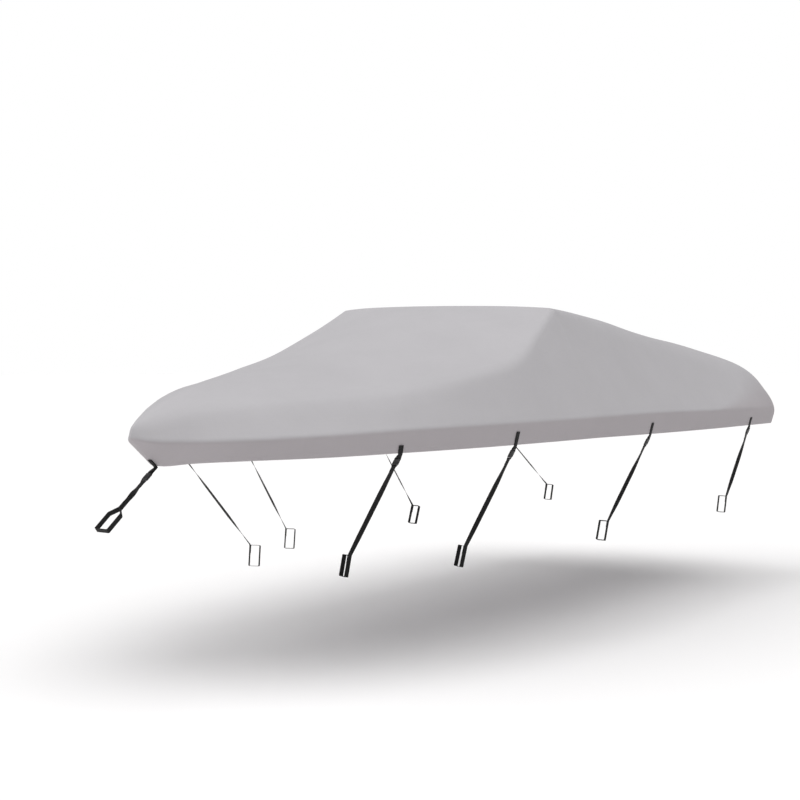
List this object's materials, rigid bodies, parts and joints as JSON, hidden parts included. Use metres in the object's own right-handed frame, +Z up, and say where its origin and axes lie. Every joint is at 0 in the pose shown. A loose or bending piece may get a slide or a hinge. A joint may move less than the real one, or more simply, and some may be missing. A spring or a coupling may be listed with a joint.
{
  "type": "boat cover",
  "caption": "Light grey fitted polyester cover for a small runabout, hanging as over its boat, with black webbing tie-downs in side-release buckles and loops for the trailer",
  "frame": {"origin": "under the cloth at the middle of the windscreen's top edge, where the boat holds the cover up", "axes": "+X runs from the bow to the stern, +Y to starboard, +Z up"},
  "size_m": [5.4955, 2.1142, 1.4078],
  "materials": {
    "cloth": "coated polyester oxford cloth, light grey, matt, fine plain weave",
    "webbing": "black polypropylene webbing, 25 mm",
    "plastic": "black acetal, fine matt texture"
  },
  "bodies": {
    "root": {"cover": "cloth", "tab_port_1": "webbing", "buckle_socket_port_1": "plastic", "buckle_plug_port_1": "plastic", "strap_port_1": "webbing", "tab_port_2": "webbing", "buckle_socket_port_2": "plastic", "buckle_plug_port_2": "plastic", "strap_port_2": "webbing", "tab_port_3": "webbing", "buckle_socket_port_3": "plastic", "buckle_plug_port_3": "plastic", "strap_port_3": "webbing", "tab_port_4": "webbing", "buckle_socket_port_4": "plastic", "buckle_plug_port_4": "plastic", "strap_port_4": "webbing", "tab_starboard_1": "webbing", "buckle_socket_starboard_1": "plastic", "buckle_plug_starboard_1": "plastic", "strap_starboard_1": "webbing", "tab_starboard_2": "webbing", "buckle_socket_starboard_2": "plastic", "buckle_plug_starboard_2": "plastic", "strap_starboard_2": "webbing", "tab_starboard_3": "webbing", "buckle_socket_starboard_3": "plastic", "buckle_plug_starboard_3": "plastic", "strap_starboard_3": "webbing", "tab_starboard_4": "webbing", "buckle_socket_starboard_4": "plastic", "buckle_plug_starboard_4": "plastic", "strap_starboard_4": "webbing", "tab_bow": "webbing", "buckle_socket_bow": "plastic", "buckle_plug_bow": "plastic", "strap_bow": "webbing"}
  },
  "joints": []
}
